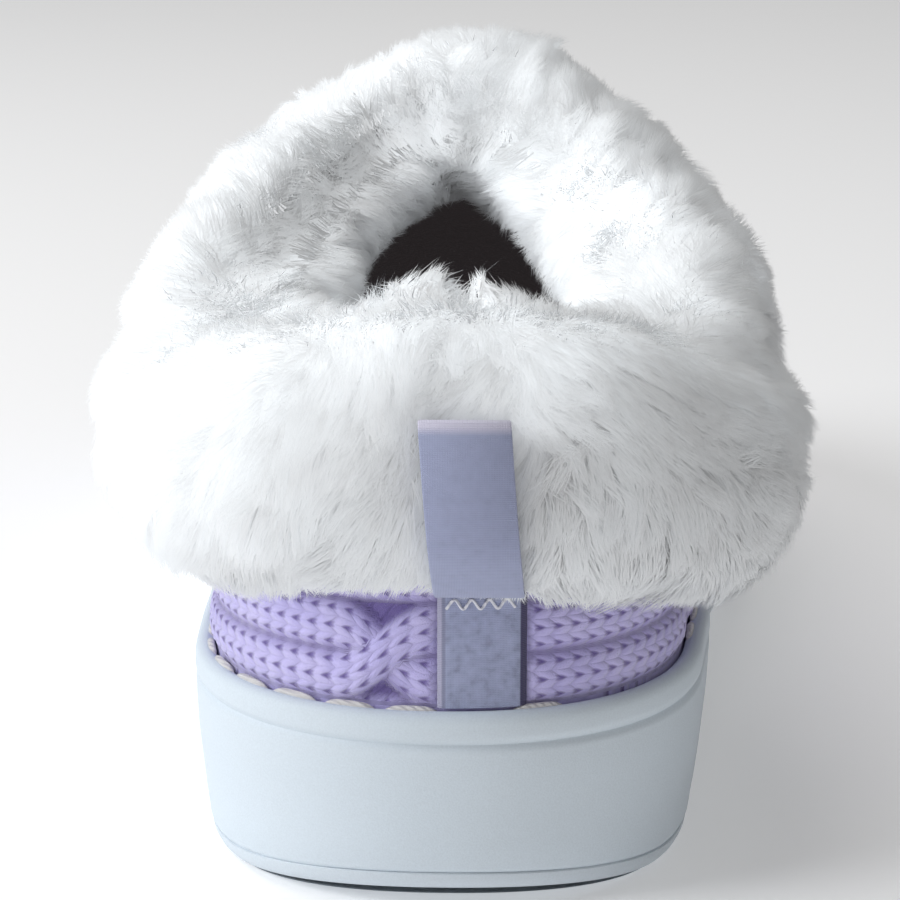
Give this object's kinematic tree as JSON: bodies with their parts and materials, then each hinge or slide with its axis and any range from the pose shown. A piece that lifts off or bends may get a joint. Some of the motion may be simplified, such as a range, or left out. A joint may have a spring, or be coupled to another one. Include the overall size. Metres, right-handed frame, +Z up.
{
  "type": "slip-on slipper",
  "caption": "Right slip-on slipper: thick white foam cup sole, lavender cable-knit upper, deep white fur collar and a ribbon pull loop at the heel",
  "frame": {"origin": "on the floor, under the middle of the heel", "axes": "+Y runs from heel to toe, +X is the outer side of the foot, +Z is up"},
  "size_m": [0.1148, 0.2785, 0.117],
  "materials": {
    "tread": "matt white moulded rubber",
    "foam": "matt white moulded foam with a fine grain",
    "footbed": "charcoal felt",
    "knit": "lavender chunky cable knit",
    "fur": "deep white faux fur",
    "ribbon": "grey-lavender grosgrain ribbon"
  },
  "bodies": {
    "root": {"outsole": "tread", "midsole": "foam", "insole": "footbed", "upper": "knit", "fur_collar": "fur", "heel_stay": "ribbon", "pull_loop": "ribbon"}
  },
  "joints": []
}
